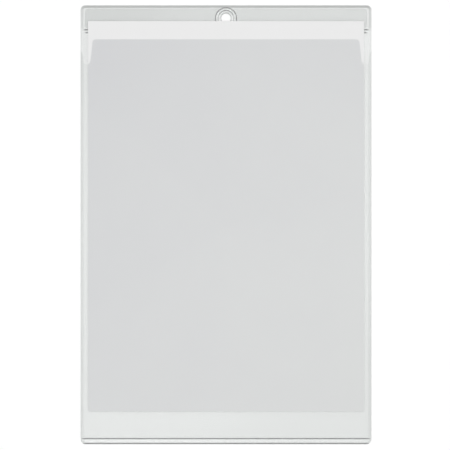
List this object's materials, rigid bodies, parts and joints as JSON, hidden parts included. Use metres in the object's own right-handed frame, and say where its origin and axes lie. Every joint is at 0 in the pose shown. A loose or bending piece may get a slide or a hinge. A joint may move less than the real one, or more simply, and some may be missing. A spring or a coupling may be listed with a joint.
{
  "type": "hanging document sleeve",
  "caption": "Clear rigid plastic hanging pocket with a stiffened header, an eyelet, a welded front sheet with relief notches, a hem and a loose white sheet inside.",
  "frame": {"origin": "middle of the sleeve's outline, at the back face that it lies on", "axes": "+X to the right, +Y towards the header and its eyelet, +Z out of the front"},
  "size_m": [0.2214, 0.3342, 0.0022],
  "materials": {
    "back_film": "clear rigid film, smooth and slightly grey",
    "front_film": "clear rigid film with a fine matt grain",
    "strip_film": "clear rigid film, smooth",
    "eyelet_plastic": "clear moulded plastic, polished",
    "paper": "plain white paper, uncoated"
  },
  "bodies": {
    "root": {"back_sheet": "back_film", "front_sheet": "front_film", "header_strip": "strip_film", "eyelet": "eyelet_plastic", "insert_sheet": "paper"}
  },
  "joints": []
}
